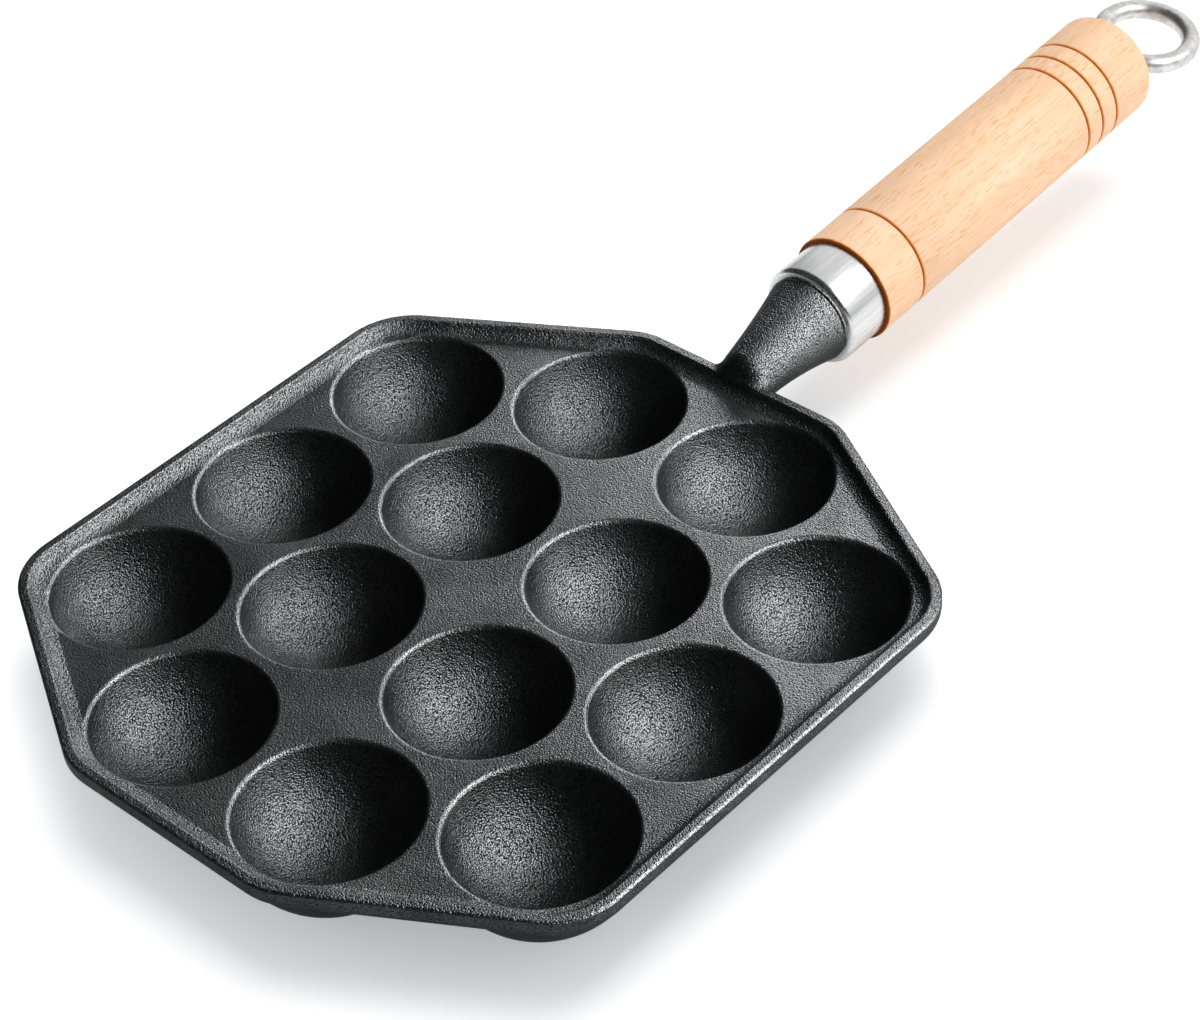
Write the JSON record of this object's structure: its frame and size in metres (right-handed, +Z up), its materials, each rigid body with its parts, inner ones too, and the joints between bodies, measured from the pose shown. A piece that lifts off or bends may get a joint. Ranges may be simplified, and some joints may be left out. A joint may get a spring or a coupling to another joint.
{
  "type": "takoyaki pan",
  "caption": "Octagonal cast-iron plate with round batter cups inside a low rim, a cast neck, a steel ferrule, a turned wooden grip and a hanging ring on a rod.",
  "frame": {"origin": "middle of the part's footprint, on the surface that the pan stands on", "axes": "+Z up, +Y along the handle towards the hanging ring, +X to the right when looking along the handle"},
  "size_m": [0.1714, 0.36, 0.0474],
  "materials": {
    "cast_iron": "seasoned black, fine sand-cast grain",
    "polished_steel": "polished, fine turning marks",
    "bright_steel": "bright drawn wire",
    "beech": "sanded and lightly oiled"
  },
  "bodies": {
    "pan": {"pan_casting": "cast_iron"},
    "handle": {"ferrule": "polished_steel", "wooden_grip": "beech"},
    "eye_bolt": {"tie_rod": "bright_steel", "end_washer": "bright_steel", "hanging_ring": "bright_steel"}
  },
  "joints": [
    {"name": "handle_draw", "type": "slide", "parent": "pan", "child": "handle", "axis": [0, 0.9976, 0.0685], "range_m": [0, 0.01]},
    {"name": "eye_screw", "type": "hinge", "parent": "handle", "child": "eye_bolt", "pos_m": [0, 0.00318, 0.0233], "axis": [0, 0.9976, 0.0685], "range_deg": [0, 3600]}
  ],
  "couplings": [
    {"joint": "eye_screw", "follows": "handle_draw", "rad_per_m": 6283.2}
  ]
}
